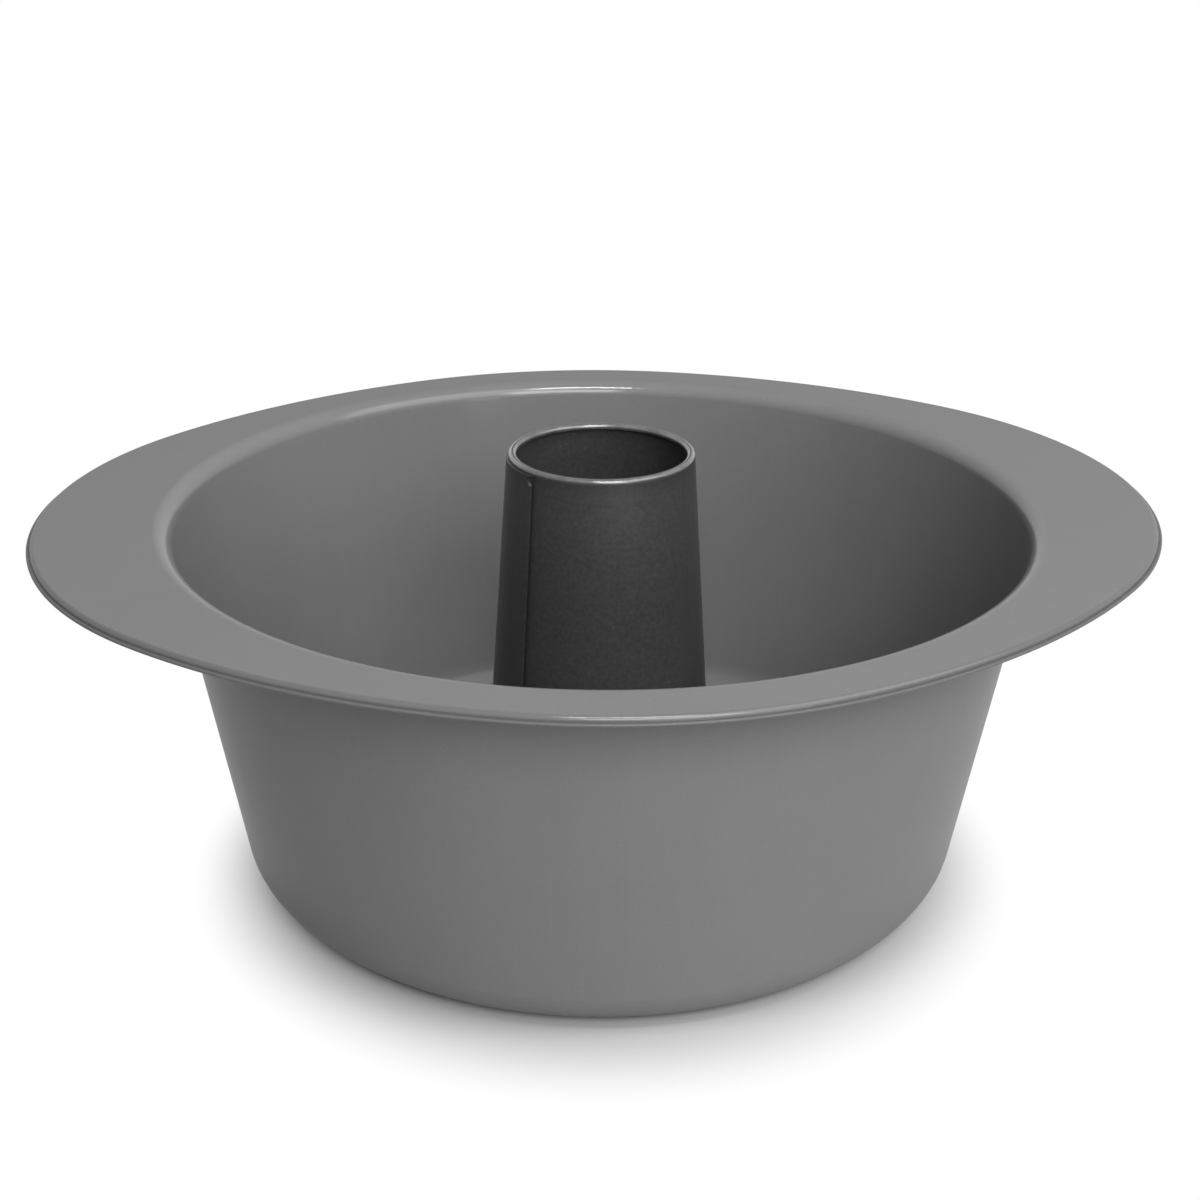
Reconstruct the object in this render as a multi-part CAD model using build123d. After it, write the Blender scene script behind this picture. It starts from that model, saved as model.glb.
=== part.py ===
from build123d import *
import os
from math import atan2, cos, degrees, radians, sin, tan

# Two-piece tube cake pan, millimetres, +Z up, X along the two handle wings.
# The origin is on the pan's axis, on the surface that the pan stands on.
# The shell is one drawn sheet. The floor lifts out of it and carries the centre tube.
# Bend radii are measured on the inside of the bend, the hollow face of the sheet.

# Shell: bowl
SHEET = 0.8             # gauge of the shell
PAN_HEIGHT = 103.0      # standing surface to the top of the flange
BASE_RADIUS = 100.5     # outside of the wall, carried down to the standing surface
MOUTH_RADIUS = 117.3    # outside of the wall, carried up to the flange top
CORNER_BEND = 11.5      # wall into the bottom ledge
MOUTH_BEND = 4.2        # wall into the flange
LEDGE_WIDTH = 9.0       # flat ring at the bottom that the floor rests on

# Shell: oval flange with its two wings
FRONT_REACH = 16.1      # wall line to the lip, at the front and the back
WING_REACH = 35.3       # wall line to the lip, at the tips of the wings
FLANK_ANGLE = 72.5      # degrees from X, where the front arc turns into the flank arc
WING_TURN_SHARE = 0.54  # how far out the wing tip's arc is centred, higher being blunter
EDGE_BEND = 0.5         # flange into its turned-down edge
LIP_WIDTH = 0.9         # small lip that stands out below the turned-down edge
LIP_ROUND_SHARE = 0.4   # of the gauge, the rounding of the lip's edges

# Removable floor
PLATE_SHEET = 0.8       # gauge of the floor
PLATE_PLAY = 0.8        # floor's edge to the start of the shell's bottom corner
STEP_PLAY = 1.5         # shell's bottom hole to the step of the floor
STEP_BEND = 1.2         # both bends of the step
FLOOR_RAISE = 3.0       # how far the middle of the floor is raised above its rim
BEAD_HALF_WIDTH = 4.0   # stiffening ring pressed up in the floor
BEAD_HEIGHT = 1.2
BEAD_BEND = 2.0
BEAD_PLACE_SHARE = 0.5  # of the way from the tube to the step

# Centre tube
TUBE_SHEET = 0.7        # gauge of the tube
TUBE_TOP = 117.5        # standing surface to the top of the tube's rim
TUBE_TOP_RADIUS = 25.4
TUBE_BASE_RADIUS = 33.3
SHOULDER_WIDTH = 2.4    # step from the tube in to its neck, seated on the floor
SHOULDER_BEND = 0.6
NECK_BEND = 0.15
NECK_PLAY = 0.2         # neck to the edge of the floor's hole
CLINCH_WIDTH = 3.5      # flange turned out under the floor
HEM_GAP = 0.8           # between the two layers of the rolled rim
HEM_DEPTH = 1.5         # height of the rolled rim
HEM_BEND_SHARE = 0.45   # of the gap
SEAM_ANGLE = -144.0     # degrees from X, the free edge of the lap seam
LAP_SPREAD = 80.0       # degrees over which the outer layer fades into the tube
NOTCH_RADIUS = 1.3      # small round relief at the top of the seam

OVERRUN = 1.0           # how far cutting tools run past what they cut
STANDING = (Align.CENTER, Align.CENTER, Align.MIN)

# Levels and radii that follow
wall_slope = (MOUTH_RADIUS - BASE_RADIUS) / PAN_HEIGHT
wall_turn = atan2(1, wall_slope)
ledge_radius = BASE_RADIUS - (CORNER_BEND + SHEET) * tan(wall_turn / 2)
ledge_hole_radius = ledge_radius - LEDGE_WIDTH
flange_underside = PAN_HEIGHT - SHEET
bend_corner_radius = BASE_RADIUS + wall_slope * flange_underside
collar_radius = bend_corner_radius + MOUTH_BEND * tan(wall_turn / 2) + SHEET
lip_underside = flange_underside - EDGE_BEND - SHEET
front_radius = MOUTH_RADIUS + FRONT_REACH
wing_length = MOUTH_RADIUS + WING_REACH

plate_radius = ledge_radius - PLATE_PLAY
step_radius = ledge_hole_radius - STEP_PLAY
floor_underside = SHEET + FLOOR_RAISE
floor_top = floor_underside + PLATE_SHEET
neck_radius = TUBE_BASE_RADIUS - SHOULDER_WIDTH
plate_hole_radius = neck_radius + NECK_PLAY

tube_slope = (TUBE_TOP_RADIUS - TUBE_BASE_RADIUS) / (TUBE_TOP - floor_top)
hem_width = 2 * TUBE_SHEET + HEM_GAP
hem_bend = HEM_GAP * HEM_BEND_SHARE
lap_bottom = floor_top + 2 * (TUBE_SHEET + SHOULDER_BEND)
lap_top = TUBE_TOP - HEM_DEPTH

# Arcs of the flange's oval: the wing tip's arc, then the flank arc that meets it
# and the front arc without a corner
tip_radius = (front_radius - WING_TURN_SHARE * wing_length) / (1 - WING_TURN_SHARE)
tip_place = wing_length - tip_radius
radius_gain = front_radius - tip_radius
flank_run = (tip_place ** 2 - radius_gain ** 2) / 2
flank_shift = flank_run / (radius_gain - tip_place * cos(radians(FLANK_ANGLE)))
flank_x = -flank_shift * cos(radians(FLANK_ANGLE))
flank_y = -flank_shift * sin(radians(FLANK_ANGLE))
tip_angle = degrees(atan2(-flank_y, tip_place - flank_x))


def strip_side(path, bends, gauge, shift):
    """One side of a bent strip: its path moved left by shift, each corner rounded."""
    runs = [(end - start).normalized() for start, end in zip(path, path[1:])]
    lefts = [Vector(-run.Y, run.X) for run in runs]
    points = [path[0] + lefts[0] * shift]
    radii = []
    for corner, bend, before, after in zip(path[1:], bends, lefts, lefts[1:]):
        points.append(corner + (before + after) * (shift / (1 + before.dot(after))))
        turns_left = before.cross(after).Z > 0
        is_hollow = turns_left == (shift > 0)
        radii.append(bend if is_hollow else bend + gauge)
    points.append(path[-1] + lefts[-1] * shift)
    return FilletPolyline(*points, radius=radii)


def spun_sheet(places, bends, gauge):
    """A sheet bent along (radius, height) places and spun about the pan's axis.

    The places are on its right-hand face, and its gauge lies to their left.
    """
    path = [Vector(radius, height) for radius, height in places]
    right = strip_side(path, bends, gauge, 0)
    left = strip_side(path, bends, gauge, gauge)
    outline = [right, Line(right @ 1, left @ 1), left, Line(left @ 0, right @ 0)]
    return revolve(Plane.XZ * make_face(outline), Axis.Z)


def oval_face(inset, height):
    """The flange's oval, drawn in by inset, as a level face at a height."""
    flank_radius = front_radius + flank_shift - inset
    flank_arc = FLANK_ANGLE - tip_angle
    flank = CenterArc((flank_x, flank_y), flank_radius, tip_angle, flank_arc)
    tip = CenterArc((tip_place, 0), tip_radius - inset, -tip_angle, 2 * tip_angle)
    front = CenterArc((0, 0), front_radius - inset, FLANK_ANGLE, 180 - 2 * FLANK_ANGLE)
    right_side = [tip, flank, mirror(flank, Plane.XZ)]
    arcs = right_side + [mirror(arc, Plane.YZ) for arc in right_side]
    return Pos(0, 0, height) * make_face(arcs + [front, mirror(front, Plane.XZ)])


def oval_block(inset, height, bend):
    """Solid oval from the lip's underside up to a height, its upper edge rounded."""
    block = extrude(oval_face(inset, lip_underside), height - lip_underside)
    return fillet(block.edges().group_by(Axis.Z)[-1], bend)


def flange():
    """Flat oval flange, its edge turned down and out into a small lip."""
    outside = oval_block(LIP_WIDTH, PAN_HEIGHT, EDGE_BEND + SHEET)
    hollow = oval_block(LIP_WIDTH + SHEET, flange_underside, EDGE_BEND)
    lip = extrude(oval_face(0, lip_underside), SHEET)
    lip = fillet(lip.edges().filter_by(GeomType.CIRCLE), SHEET * LIP_ROUND_SHARE)
    opening = Cylinder(collar_radius, PAN_HEIGHT + OVERRUN, align=STANDING)
    return outside + lip - hollow - opening


def pan_shell():
    """Bowl and flange as one sheet, open at the bottom inside its ledge."""
    bowl = spun_sheet(
        [
            (ledge_hole_radius, 0),
            (BASE_RADIUS, 0),
            (bend_corner_radius, flange_underside),
            (collar_radius, flange_underside),
        ],
        [CORNER_BEND, MOUTH_BEND],
        SHEET,
    )
    return bowl + flange()


def base_plate():
    """Lift-out floor: its rim lies on the ledge and its middle is raised by a step."""
    bead_radius = TUBE_BASE_RADIUS + (step_radius - TUBE_BASE_RADIUS) * BEAD_PLACE_SHARE
    return spun_sheet(
        [
            (plate_hole_radius, floor_underside),
            (bead_radius - BEAD_HALF_WIDTH, floor_underside),
            (bead_radius, floor_underside + BEAD_HEIGHT),
            (bead_radius + BEAD_HALF_WIDTH, floor_underside),
            (step_radius - FLOOR_RAISE, floor_underside),
            (step_radius, SHEET),
            (plate_radius, SHEET),
        ],
        [BEAD_BEND, BEAD_BEND, BEAD_BEND, STEP_BEND, STEP_BEND],
        PLATE_SHEET,
    )


def tube_wall():
    """Tapered tube: clinched under the floor, seated on it, its rim rolled inwards."""
    hem_radius = TUBE_TOP_RADIUS - hem_width
    return spun_sheet(
        [
            (neck_radius + CLINCH_WIDTH, floor_underside),
            (neck_radius, floor_underside),
            (neck_radius, floor_top),
            (TUBE_BASE_RADIUS, floor_top),
            (TUBE_TOP_RADIUS, TUBE_TOP),
            (hem_radius, TUBE_TOP),
            (hem_radius, TUBE_TOP - HEM_DEPTH),
        ],
        [NECK_BEND, NECK_BEND, SHOULDER_BEND, hem_bend, hem_bend],
        TUBE_SHEET,
    )


def tube_radius(height):
    """Outside radius of the tube at a height."""
    return TUBE_BASE_RADIUS + tube_slope * (height - floor_top)


def tube_cone(thinner):
    """Solid cone between the ends of the lap seam, smaller than the tube by thinner."""
    bottom = tube_radius(lap_bottom) - thinner
    top = tube_radius(lap_top) - thinner
    cone = Cone(bottom, top, lap_top - lap_bottom, align=STANDING)
    return Pos(0, 0, lap_bottom) * cone


def lap_layer():
    """Outer layer of the lap seam: it stands out by the gauge at its free edge.

    Its outside is the tube's own cone moved sideways, so it fades out round the tube.
    """
    moved = Rot(0, 0, SEAM_ANGLE) * Pos(TUBE_SHEET, 0, 0) * tube_cone(0)
    half_section = Rectangle(2 * TUBE_BASE_RADIUS, TUBE_TOP, align=(Align.MIN, Align.MIN))
    wedge = revolve(Plane.XZ * half_section, Axis.Z, LAP_SPREAD)
    wedge = Rot(0, 0, SEAM_ANGLE - LAP_SPREAD) * wedge
    return moved & wedge


def seam_notch():
    """Short round cutter, pointing outwards, at the top of the lap seam."""
    height = lap_top - NOTCH_RADIUS
    cutter = Cylinder(NOTCH_RADIUS, TUBE_SHEET + OVERRUN, align=STANDING)
    outwards = Pos(tube_radius(height), 0, height) * Rot(0, 90, 0) * cutter
    return Rot(0, 0, SEAM_ANGLE) * outwards


def center_tube():
    """Rolled tube with a lap seam down one side."""
    lap = lap_layer() - tube_cone(TUBE_SHEET / 2)
    return tube_wall() + lap - seam_notch()


os.makedirs("parts", exist_ok=True)
for piece in (pan_shell, base_plate, center_tube):
    export_step(piece(), f"parts/{piece.__name__}.step")
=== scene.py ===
"""Two-piece tube pan: a coated shell with two handle wings, a loose floor and a tapered tube.

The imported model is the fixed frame. Each of its three parts is replaced by a finer mesh of the
same shape, lofted round the pan's axis by one Geometry Nodes tree, and dressed in a satin coating.
"""

import logging
import math
from dataclasses import asdict, dataclass, replace
from enum import Enum

import bpy
from mathutils import Matrix, Vector


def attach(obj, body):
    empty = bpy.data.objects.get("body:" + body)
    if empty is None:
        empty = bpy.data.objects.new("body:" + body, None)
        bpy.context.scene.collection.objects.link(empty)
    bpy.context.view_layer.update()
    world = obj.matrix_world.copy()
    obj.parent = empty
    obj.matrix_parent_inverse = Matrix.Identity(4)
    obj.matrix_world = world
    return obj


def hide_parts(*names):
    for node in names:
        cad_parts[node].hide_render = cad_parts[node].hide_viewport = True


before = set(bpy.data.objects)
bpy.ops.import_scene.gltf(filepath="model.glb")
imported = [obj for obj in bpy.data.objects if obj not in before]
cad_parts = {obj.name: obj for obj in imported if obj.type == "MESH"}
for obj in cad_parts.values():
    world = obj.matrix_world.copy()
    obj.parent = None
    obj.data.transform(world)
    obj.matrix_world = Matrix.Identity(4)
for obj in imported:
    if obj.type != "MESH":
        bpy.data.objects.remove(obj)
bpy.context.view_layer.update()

MM = 0.001
CUT_ROUND = 0.15 * MM  # rounding of a sheet's cut edge
CUT_WEAR = 0.6
CUT_RUN_SHARE = 2.2  # of the rounding, from the corner to a station on the face
CUT_FACE_SHARE = 2.0  # the same on the cut face
CUT_MIDDLE_SHARE = 0.29  # the same to the middle of the rounding's arc
ARC_STEP = math.radians(9.0)  # widest step round a bend
HOLD = 0.25 * MM  # from a bend to a station that keeps the next face flat
OVAL_SPREAD = 24 * MM  # mean distance between the mouth's circle and the oval
RIPPLE_RISE = 9.0  # noise units a metre of height, as round a wall 0.11 m from the axis
WELD = 1e-6  # points closer than this become one
SHARP_ANGLE = math.radians(42)  # faces that meet more sharply are shaded apart
COAT_INDEX = 1.8  # refraction of the coating's clear layer

log = logging.getLogger("tube_pan")

Colour = tuple[float, float, float]
Place = tuple[float, float]
Socket = bpy.types.NodeSocket
Sockets = bpy.types.bpy_prop_collection
Inputs = dict[str | int, object]

# painted shade: the dark colour that marked creases, the wall under the tube's rim and the flange's
# edge are darkened towards
PAINTED_SHADE_COLOUR: Colour = (0.012, 0.012, 0.013)


# Node tree helpers


class Graph:
    """Adds nodes to one node tree, feeds their inputs and hands back their outputs."""

    def __init__(self, tree: bpy.types.NodeTree) -> None:
        """Keeps the tree that the nodes go into."""
        self.tree = tree

    def feed(self, socket: Socket, value: object) -> None:
        """Sets an input, or joins it to another node's output.

        Args:
            socket: The input to fill.
            value: A plain value or an output socket.
        """
        if isinstance(value, Socket):
            self.tree.links.new(value, socket)
        else:
            socket.default_value = value

    def add(self, kind: str, inputs: Inputs | None = None, **options: object) -> bpy.types.Node:
        """Adds one node.

        Args:
            kind: The node's type name.
            inputs: What to feed each named or numbered input.
            options: The node's own settings.

        Returns:
            The new node.
        """
        node = self.tree.nodes.new(kind)
        for name, value in options.items():
            setattr(node, name, value)
        for key, value in (inputs or {}).items():
            self.feed(node.inputs[key], value)
        return node

    def math(self, operation: str, *terms: object, clamp: bool = False) -> Socket:
        """Returns a Math node's result for terms in the order of its inputs."""
        options = {"operation": operation, "use_clamp": clamp}
        return self.add("ShaderNodeMath", dict(enumerate(terms)), **options).outputs[0]

    def times(self, first: object, *others: object) -> Socket:
        """Returns the product of values or outputs, multiplied from left to right."""
        for other in others:
            first = self.math("MULTIPLY", first, other)
        return first

    def plus(self, first: object, *others: object) -> Socket:
        """Returns the sum of values or outputs, added from left to right."""
        for other in others:
            first = self.math("ADD", first, other)
        return first

    def minus(self, first: object, second: object) -> Socket:
        """Returns one value or output less another."""
        return self.math("SUBTRACT", first, second)

    def above(self, first: object, second: object) -> Socket:
        """Returns 1 where the first is greater, and 0 elsewhere."""
        return self.math("GREATER_THAN", first, second)

    def swing(self, value: Socket, amount: float, middle: object) -> Socket:
        """Returns a result that a noise varies by an amount, round its middle."""
        return self.math("MULTIPLY_ADD", self.minus(value, 0.5), amount, middle)

    def ramp(self, value: object, start: object, end: object) -> Socket:
        """Returns a smooth step of a value, which is 0 at the start and 1 at the end."""
        inputs = {"Value": value, "From Min": start, "From Max": end}
        return self.add("ShaderNodeMapRange", inputs, interpolation_type="SMOOTHSTEP").outputs[0]

    def noise(self, vector: object, scale: object, detail: float, roughness: float = 0.5) -> Socket:
        """Returns a noise from 0 to 1, read at a vector. detail is its count of octaves."""
        inputs = {"Vector": vector, "Scale": scale, "Detail": detail, "Roughness": roughness}
        return self.add("ShaderNodeTexNoise", inputs).outputs[0]

    def blend_colour(self, factor: Socket, first: object, second: object) -> Socket:
        """Mixes two colours.

        Args:
            factor: The share of the second.
            first: A colour or an output socket.
            second: A colour or an output socket.

        Returns:
            The mixed colour.
        """
        node = self.add("ShaderNodeMix", {0: factor}, data_type="RGBA")
        for place, value in ((6, first), (7, second)):
            self.feed(node.inputs[place], value if isinstance(value, Socket) else (*value, 1.0))
        return node.outputs[2]


def emptied(owner: bpy.types.Material | bpy.types.World) -> Graph:
    """Clears a material's or a world's nodes and returns its tree's graph."""
    owner.use_nodes = True
    owner.node_tree.nodes.clear()
    return Graph(owner.node_tree)


def added(name: str, data: bpy.types.ID) -> bpy.types.Object:
    """Adds a mesh, lamp or camera to the scene and returns its object."""
    new = bpy.data.objects.new(name, data)
    bpy.context.scene.collection.objects.link(new)
    return new


# The sheet's section and its loft


def bump(value: float, low: float, high: float) -> float:
    """Returns a smooth hill: 0 outside low and high, and 1 at their middle."""
    if not low < value < high:
        return 0.0
    part = (value - low) / (high - low)
    return min(1.0, 4 * part * (1 - part))


def quarter(steps: int) -> list[float]:
    """Returns the angles that divide a quarter turn into even steps, with both ends."""
    return [math.pi / 2 * step / steps for step in range(steps + 1)]


def rounded_corner(radius: float, steps: int) -> list[Place]:
    """Returns how far a quarter circle's points lie in from the two sides that it joins."""
    return [(radius * (1 - math.sin(a)), radius * (1 - math.cos(a))) for a in quarter(steps)]


@dataclass(frozen=True)
class Station:
    """One ring of a lofted sheet, as a point of its section.

    share is 0 on a circle of radius r and 1 on the flange's oval, inset measures in from the oval,
    wear marks edges that rub, lap marks the outer face under the seam's free edge, ripple and sag
    let the sheet wander in radius or in height, and the shade mark paints shade: darker and duller
    coating in creases, under the tube's rim and on the flange's turned-down edge.
    """

    r: float
    z: float
    share: float = 0.0
    inset: float = 0.0
    wear: float = 0.0
    lap: float = 0.0
    ripple: float = 0.0
    sag: float = 0.0
    soil: float = 0.0

    def toward(self, other: "Station", part: float) -> "Station":
        """Returns the station that lies part of the way to another."""
        names = self.__dataclass_fields__
        return Station(*(getattr(self, n) * (1 - part) + getattr(other, n) * part for n in names))


@dataclass(frozen=True)
class Bend:
    """A corner of a sheet's path: its inside radius, and how much its outside rubs."""

    radius: float
    wear: float = 0.0


class SheetSection:
    """The section of a sheet of even gauge that is bent along a path.

    The path is the sheet's right-hand face, and the gauge lies to its left.
    """

    LEAST_STEPS = 3  # round a bend

    def __init__(self, path: list[Place], bends: list[Bend], gauge: float) -> None:
        """Keeps the path, its bends and the gauge."""
        self.path = [Vector(p) for p in path]
        self.bends = bends
        self.gauge = gauge

    def shifted(self) -> list[Vector]:
        """Returns the path's corners moved to its left by the gauge, with mitred corners."""
        ways = [(b - a).normalized() for a, b in zip(self.path, self.path[1:])]
        lefts = [Vector((-w.y, w.x)) for w in ways]
        moved = [self.path[0] + lefts[0] * self.gauge]
        for corner, before, after in zip(self.path[1:-1], lefts, lefts[1:]):
            half = (before + after).normalized()
            moved.append(corner + half * self.gauge / half.dot(before))
        return moved + [self.path[-1] + lefts[-1] * self.gauge]

    def face(self, left: bool) -> list[Station]:
        """Rounds one face's corners.

        Args:
            left: True for the face to the left of the path.

        Returns:
            The face's stations, from the path's start to its end.
        """
        corners = self.shifted() if left else self.path
        stations = [Station(*corners[0])]
        for place, bend in enumerate(self.bends, 1):
            before = (corners[place] - corners[place - 1]).normalized()
            after = (corners[place + 1] - corners[place]).normalized()
            turn = math.atan2(before.x * after.y - before.y * after.x, before.dot(after))
            outside = (turn > 0) != left
            radius = bend.radius + (self.gauge if outside else 0.0)
            reach = radius * math.tan(abs(turn) / 2)
            first, last = corners[place] - before * reach, corners[place] + after * reach
            side = Vector((-before.y, before.x)) * math.copysign(1.0, turn)
            centre = first + side * radius
            steps = max(self.LEAST_STEPS, math.ceil(abs(turn) / ARC_STEP))
            wear = bend.wear if outside else 0.0
            if (first - Vector((stations[-1].r, stations[-1].z))).length > 2 * HOLD:
                stations.append(Station(*(first - before * HOLD)))
            for step in range(steps + 1):
                spun = Matrix.Rotation(turn * step / steps, 2) @ (first - centre)
                rubbed = wear * math.sin(math.pi * step / steps)
                stations.append(Station(*(centre + spun), wear=rubbed))
            if (corners[place + 1] - last).length > 2 * HOLD:
                stations.append(Station(*(last + after * HOLD)))
        return stations + [Station(*corners[-1])]

    def loop(self, end_cut: bool = True) -> list[Station]:
        """Joins both faces into one loop, with the cut edge at the path's start dulled.

        Args:
            end_cut: Whether the sheet is cut off, with a dulled edge, at the path's end too.

        Returns:
            The right-hand face forwards, then the left-hand face backwards.
        """
        right, left = self.face(False), self.face(True)[::-1]
        if end_cut:
            below = dulled(right[-2], right[-1], left[0])
            above = dulled(left[1], left[0], right[-1])
            right[-1:], left[:1] = below, above[::-1]
        below = dulled(right[1], right[0], left[-1])
        above = dulled(left[-2], left[-1], right[0])
        right[:1], left[-1:] = below[::-1], above
        return right + left


def dulled(run: Station, corner: Station, over: Station) -> list[Station]:
    """Rounds the square corner of a cut edge a little.

    Args:
        run: The station before the corner.
        corner: The corner itself.
        over: The corner across the gauge.

    Returns:
        The stations that take the corner's place, from the run to the cut face.
    """
    here = Vector((corner.r, corner.z))
    back = (Vector((run.r, run.z)) - here).normalized() * CUT_ROUND
    across = (Vector((over.r, over.z)) - here).normalized() * CUT_ROUND
    spots = [
        here + back * CUT_RUN_SHARE,
        here + back,
        here + (back + across) * CUT_MIDDLE_SHARE,
        here + across,
        here + across * CUT_FACE_SHARE,
    ]
    return [Station(*spot, wear=CUT_WEAR) for spot in spots]


def refined(stations: list[Station], gap: float) -> list[Station]:
    """Fills the long runs of a loop with more stations.

    Args:
        stations: The closed loop.
        gap: The longest run that is left.

    Returns:
        The loop with its runs divided.
    """
    filled: list[Station] = []
    for here, there in zip(stations, stations[1:] + stations[:1]):
        run = math.hypot(there.r - here.r, there.z - here.z)
        run += abs(there.share - here.share) * OVAL_SPREAD
        pieces = max(1, math.ceil(run / gap))
        filled += [here.toward(there, step / pieces) for step in range(pieces)]
    return filled


@dataclass(frozen=True)
class Oval:
    """The flange's outline: front and back arcs, four flank arcs and an arc for each wing's tip."""

    front_radius: float = 133.4 * MM
    wing_length: float = 152.6 * MM
    tip_share: float = 0.54
    flank_angle: float = math.radians(72.5)

    @property
    def tip_radius(self) -> float:
        """Returns the radius of the wing tip's arc."""
        return (self.front_radius - self.tip_share * self.wing_length) / (1 - self.tip_share)

    @property
    def tip_place(self) -> float:
        """Returns how far out the wing tip's arc is centred."""
        return self.wing_length - self.tip_radius

    @property
    def flank_shift(self) -> float:
        """Returns how much longer the flank's radius is than the front's."""
        gain = self.front_radius - self.tip_radius
        place = self.tip_place
        return (place**2 - gain**2) / (2 * (gain - place * math.cos(self.flank_angle)))

    def inputs(self) -> dict[str, float]:
        """Returns the loft's inputs for this outline."""
        shift = self.flank_shift
        flank = (-shift * math.cos(self.flank_angle), -shift * math.sin(self.flank_angle))
        return {
            "Front Radius": self.front_radius,
            "Flank Radius": self.front_radius + shift,
            "Flank X": flank[0],
            "Flank Y": flank[1],
            "Flank Angle": self.flank_angle,
            "Tip Radius": self.tip_radius,
            "Tip X": self.tip_place,
            "Tip Angle": math.atan2(-flank[1], self.tip_place - flank[0]),
        }


@dataclass(frozen=True)
class LoftSizes:
    """Sizes that the loft takes, each under its field's name in title case."""

    def inputs(self) -> dict[str, float]:
        """Returns the loft's inputs for these sizes."""
        return {name.replace("_", " ").title(): size for name, size in asdict(self).items()}


@dataclass(frozen=True)
class Lap(LoftSizes):
    """A lap seam: its free edge, how far that fades out, the notch at its top, and how far painted
    shade reaches from its crease.

    A depth of 0 makes no seam. crowding draws the loft's columns towards the free edge.
    """

    seam_angle: float = 0.0
    lap_depth: float = 0.0
    lap_spread: float = math.radians(80.0)
    crowding: float = 0.0
    notch_height: float = -1.0
    notch_radius: float = 1.3 * MM
    crease: float = 0.9 * MM


@dataclass(frozen=True)
class Drift(LoftSizes):
    """How drawn or rolled sheet wanders from its true shape, in radius and in height."""

    ripple: float = 0.0
    sag: float = 0.0
    ripple_scale: float = 1.0
    seed: float = 0.0


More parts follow.
